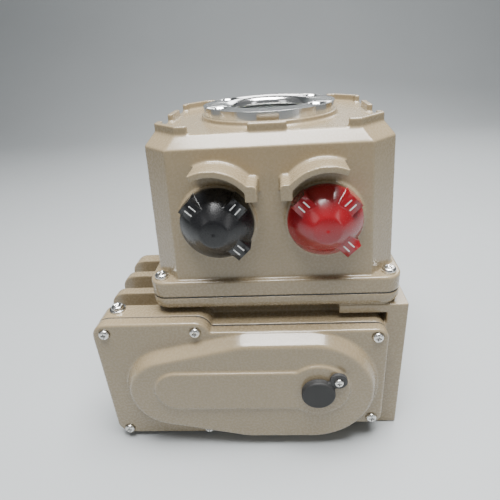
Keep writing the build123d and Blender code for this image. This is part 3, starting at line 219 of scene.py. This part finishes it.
def welded_copy(node):
    """Mesh of a CAD node with its doubled vertices joined, so that curves can be shaded smooth."""
    mesh = NODES[node].data.copy()
    shape = bmesh.new()
    shape.from_mesh(mesh)
    bmesh.ops.remove_doubles(shape, verts=shape.verts, dist=WELD_DISTANCE)
    bmesh.ops.recalc_face_normals(shape, faces=shape.faces)
    shape.to_mesh(mesh)
    shape.free()
    return mesh


def smooth_by_angle(mesh, degrees):
    mesh.shade_smooth()
    mesh.set_sharp_from_angle(angle=math.radians(degrees))


def machined(node):
    """Finely shaded stand-in for a machined or moulded piece."""
    mesh = welded_copy(node)
    smooth_by_angle(mesh, SHARP_ANGLE)
    piece = add_piece(node + "_fine", mesh, FINISHES[SLOT_OF[node]], BODY_OF[node])
    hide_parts(node)
    return piece


def cast(node, voxel, rounds):
    """Stand-in for a casting, with the softly rounded corners of a sand or die casting."""
    source = bpy.data.objects.new(node + "_source", welded_copy(node))
    bpy.context.scene.collection.objects.link(source)
    remesh = source.modifiers.new("remesh", "REMESH")
    remesh.mode = "VOXEL"
    remesh.voxel_size = voxel
    relax = source.modifiers.new("relax", "SMOOTH")
    relax.factor = 0.5
    relax.iterations = rounds
    bpy.context.view_layer.update()
    depsgraph = bpy.context.evaluated_depsgraph_get()
    mesh = bpy.data.meshes.new_from_object(source.evaluated_get(depsgraph))
    bpy.data.objects.remove(source)
    mesh.shade_smooth()
    piece = add_piece(node + "_cast", mesh, FINISHES["cast_paint"], BODY_OF[node])
    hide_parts(node)
    return piece


for casting in CASTINGS:
    cast(casting, VOXEL, RELAX_ROUNDS)
for node in sorted(NODES):
    if node not in CASTINGS:
        machined(node)


# ---------------------------------------------------------------- generic marks
def bar_mesh(name, half_x, half_y, height):
    mesh = bpy.data.meshes.new(name)
    shape = bmesh.new()
    bmesh.ops.create_cube(shape, size=1.0)
    bmesh.ops.scale(shape, vec=(2 * half_x, 2 * half_y, height), verts=shape.verts)
    shape.to_mesh(mesh)
    shape.free()
    return mesh


def knob_marks(knob):
    """Small white printed bars on the three raised pads, in place of lettering."""
    low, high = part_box(knob)
    centre = (low + high) / 2
    pad_y = high.y - PAD_HEIGHT - MARK_PROUD
    upright = Matrix.Rotation(math.pi / 2, 4, "X")
    for index, angle in enumerate(PAD_ANGLES):
        turn = Matrix.Rotation(math.radians(angle), 4, "Y").inverted()
        for row, offset in enumerate(MARK_ROWS):
            name = f"{knob}_mark_{index}_{row}"
            mesh = bar_mesh(name, MARK_HALF_LENGTH, MARK_HALF_WIDTH, MARK_THICK)
            place = Matrix.Translation(Vector((centre.x, pad_y, centre.z))) @ turn
            place = place @ Matrix.Translation(Vector((PAD_RADIUS, 0.0, offset))) @ upright
            mesh.transform(place)
            add_piece(name, mesh, MARK, BODY_OF[knob])


knob_marks("local_control_knob")
knob_marks("mode_knob")


# ---------------------------------------------------------------- stage, light, camera
def sweep_floor():
    """Grey floor that curves up into a backdrop behind the object."""
    front, bend_from, bend_radius, top, half_width = -3.0, 1.1, 0.8, 3.5, 4.0
    steps = 16
    below = 0.0006           # the floor lies just under the object
    profile = [(front, 0.0)]
    for step in range(steps + 1):
        a = math.radians(90 * step / steps)
        profile.append((bend_from + bend_radius * math.sin(a), bend_radius - bend_radius * math.cos(a)))
    profile.append((bend_from + bend_radius, top))
    verts = [(x, y, z - below) for y, z in profile for x in (-half_width, half_width)]
    faces = [(2 * i, 2 * i + 1, 2 * i + 3, 2 * i + 2) for i in range(len(profile) - 1)]
    mesh = bpy.data.meshes.new("sweep")
    mesh.from_pydata(verts, [], faces)
    mesh.shade_smooth()
    mesh.materials.append(FLOOR)
    floor = bpy.data.objects.new("sweep", mesh)
    bpy.context.scene.collection.objects.link(floor)


def area_light(name, place, target, size, power):
    data = bpy.data.lights.new(name, "AREA")
    data.shape = "RECTANGLE"
    data.size = size[0]
    data.size_y = size[1]
    data.energy = power
    lamp = bpy.data.objects.new(name, data)
    lamp.location = place
    lamp.rotation_euler = (Vector(target) - Vector(place)).to_track_quat("-Z", "Y").to_euler()
    bpy.context.scene.collection.objects.link(lamp)


sweep_floor()
MIDDLE = (0.0, 0.0, 0.13)    # every lamp points here
LAMPS = (                    # name, place in m, size in m, power in W
    ("overhead", (0.05, -0.15, 1.30), (0.9, 0.7), 55.0),
    ("front_left", (-0.95, -1.00, 0.75), (0.5, 0.7), 1.4),
    ("front_right", (0.95, -0.85, 0.55), (0.25, 0.9), 1.6),
    ("rear", (0.30, 1.00, 0.90), (1.0, 0.5), 9.0),
)
for lamp_name, lamp_place, lamp_size, lamp_power in LAMPS:
    area_light(lamp_name, lamp_place, MIDDLE, lamp_size, lamp_power)
world = bpy.data.worlds.new("studio")
bpy.context.scene.world = world
world.use_nodes = True
sky = world.node_tree.nodes["Background"]
sky.inputs["Color"].default_value = (0.86, 0.89, 0.92, 1.0)
sky.inputs["Strength"].default_value = 0.20

CAMERA_PLACE = (0.008746, -0.317131, 0.291952)    # m
yaw, pitch, roll = -0.065136, 0.441810, -0.061520  # radians
level = math.cos(pitch)
forward = Vector((math.sin(yaw) * level, math.cos(yaw) * level, -math.sin(pitch)))
right = Vector((math.cos(yaw), -math.sin(yaw), 0.0))
up = right.cross(forward)
right_rolled = math.cos(roll) * right + math.sin(roll) * up
up_rolled = -math.sin(roll) * right + math.cos(roll) * up
lens = bpy.data.cameras.new("camera")
lens.sensor_width = 36.0
lens.lens = 28.683
lens.shift_x = -0.0220
lens.shift_y = -0.0329
lens.clip_start = 0.01
camera = bpy.data.objects.new("camera", lens)
axes = Matrix((right_rolled, up_rolled, -forward)).transposed()
camera.matrix_world = Matrix.Translation(Vector(CAMERA_PLACE)) @ axes.to_4x4()
bpy.context.scene.collection.objects.link(camera)
bpy.context.scene.camera = camera
